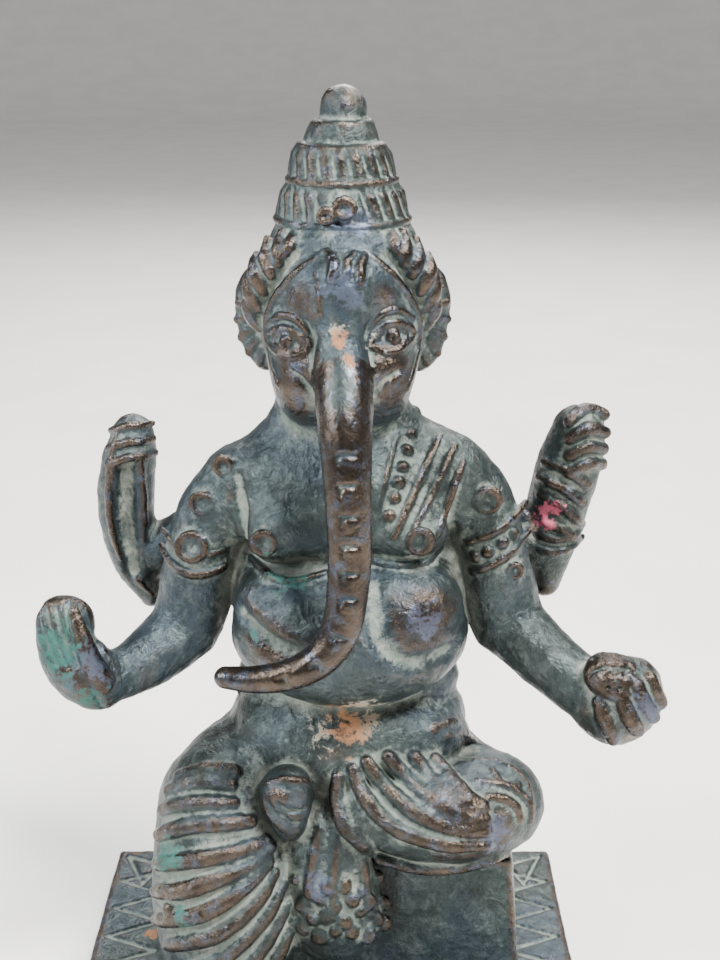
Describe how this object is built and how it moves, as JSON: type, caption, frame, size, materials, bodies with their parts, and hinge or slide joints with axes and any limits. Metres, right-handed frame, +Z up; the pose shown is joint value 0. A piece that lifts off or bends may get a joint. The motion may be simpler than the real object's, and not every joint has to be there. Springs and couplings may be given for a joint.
{
  "type": "seated deity figurine",
  "caption": "Small cast bronze figurine of a seated elephant-headed deity with four arms, one leg folded and one hanging, on a block and a flat plinth.",
  "frame": {"origin": "on the underside of the plinth plate, straight below the middle of the crown", "axes": "+Z up, the figure faces -Y, +X is the figure's own left"},
  "size_m": [0.0591, 0.037, 0.0902],
  "materials": {
    "patinated_bronze": "old bronze with a dusty grey-green patina, semi-matte, high points rubbed dark brown",
    "head_bronze": "old bronze, dark brown with pale green dust in the hollows",
    "polished_bronze": "old bronze rubbed smooth and dark brown, golden on its edges",
    "plinth_bronze": "old bronze, dark brown with green-grey dust in the incised lines"
  },
  "bodies": {
    "root": {"arm_discs": "patinated_bronze", "base_plate": "plinth_bronze", "belly": "patinated_bronze", "chest": "patinated_bronze", "chest_discs": "patinated_bronze", "crown_brim": "patinated_bronze", "crown_finial": "patinated_bronze", "crown_rosette": "patinated_bronze", "crown_tier_one": "patinated_bronze", "crown_tier_three": "patinated_bronze", "crown_tier_two": "patinated_bronze", "dhoti_fall": "patinated_bronze", "dhoti_lap": "patinated_bronze", "face_ridge": "head_bronze", "folded_foot": "patinated_bronze", "folded_pleats": "patinated_bronze", "folded_shin": "patinated_bronze", "folded_thigh": "patinated_bronze", "forehead_mark": "head_bronze", "front_left_armband": "patinated_bronze", "front_left_fingers": "patinated_bronze", "front_left_forearm": "patinated_bronze", "front_left_hand": "patinated_bronze", "front_left_upper_arm": "patinated_bronze", "front_right_armband": "patinated_bronze", "front_right_forearm": "patinated_bronze", "front_right_hand": "patinated_bronze", "front_right_thumb": "patinated_bronze", "front_right_upper_arm": "patinated_bronze", "head": "head_bronze", "left_ear": "head_bronze", "left_eye": "head_bronze", "left_hair_locks": "head_bronze", "neck": "patinated_bronze", "pendant_foot": "patinated_bronze", "pendant_pleats": "patinated_bronze", "pendant_shin": "patinated_bronze", "pendant_thigh": "patinated_bronze", "pendant_toes": "patinated_bronze", "rear_left_bangles": "patinated_bronze", "rear_left_fingers": "patinated_bronze", "rear_left_raised_hand": "patinated_bronze", "rear_left_upper_arm": "patinated_bronze", "rear_right_fingers": "patinated_bronze", "rear_right_raised_hand": "patinated_bronze", "rear_right_upper_arm": "patinated_bronze", "right_ear": "head_bronze", "right_eye": "head_bronze", "right_hair_locks": "head_bronze", "sacred_thread": "patinated_bronze", "seat_block": "patinated_bronze", "shoulder_garland": "patinated_bronze", "sweet_ball": "patinated_bronze", "trunk": "polished_bronze", "under_chest_fold": "patinated_bronze", "waist_belt": "patinated_bronze"}
  },
  "joints": []
}
